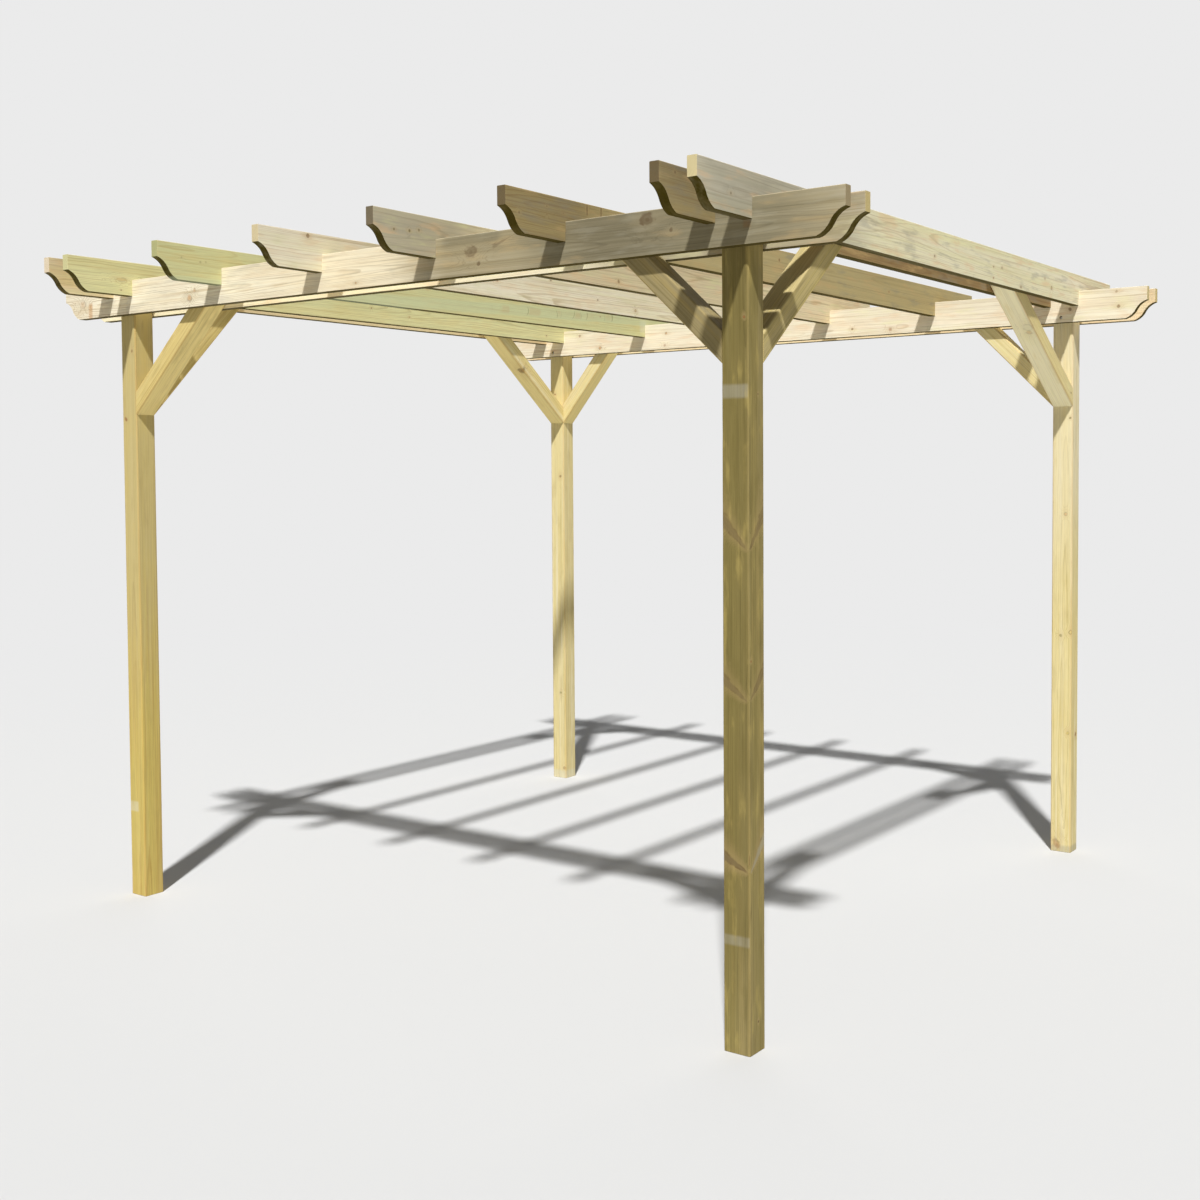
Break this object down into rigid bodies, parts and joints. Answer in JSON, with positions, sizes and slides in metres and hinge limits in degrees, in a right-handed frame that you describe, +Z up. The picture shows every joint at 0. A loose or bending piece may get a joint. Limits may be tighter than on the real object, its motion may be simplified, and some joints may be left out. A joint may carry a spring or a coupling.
{
  "type": "pergola",
  "caption": "Open square timber pergola: corner posts, paired rails, ogee-ended rafters halved over them, and knee braces.",
  "frame": {"origin": "on the ground in the middle of the four posts", "axes": "+X along the rails, +Y along the rafters from front to back, +Z up"},
  "size_m": [3.78, 3.78, 2.716],
  "materials": {
    "post_timber": "planed, pressure treated, weathered",
    "rail_timber": "planed, pressure treated, weathered",
    "rafter_timber": "planed, pressure treated, weathered",
    "brace_timber": "planed, pressure treated, weathered"
  },
  "bodies": {
    "root": {"post_front_left": "post_timber", "post_front_right": "post_timber", "post_back_left": "post_timber", "post_back_right": "post_timber", "rail_front_outer": "rail_timber", "rail_front_inner": "rail_timber", "rail_back_inner": "rail_timber", "rail_back_outer": "rail_timber", "rafter_1": "rafter_timber", "rafter_2": "rafter_timber", "rafter_3": "rafter_timber", "rafter_4": "rafter_timber", "rafter_5": "rafter_timber", "rafter_6": "rafter_timber", "rafter_7": "rafter_timber", "rafter_8": "rafter_timber", "rail_brace_front_left": "brace_timber", "rafter_brace_front_left": "brace_timber", "rail_brace_front_right": "brace_timber", "rafter_brace_front_right": "brace_timber", "rail_brace_back_left": "brace_timber", "rafter_brace_back_left": "brace_timber", "rail_brace_back_right": "brace_timber", "rafter_brace_back_right": "brace_timber"}
  },
  "joints": []
}
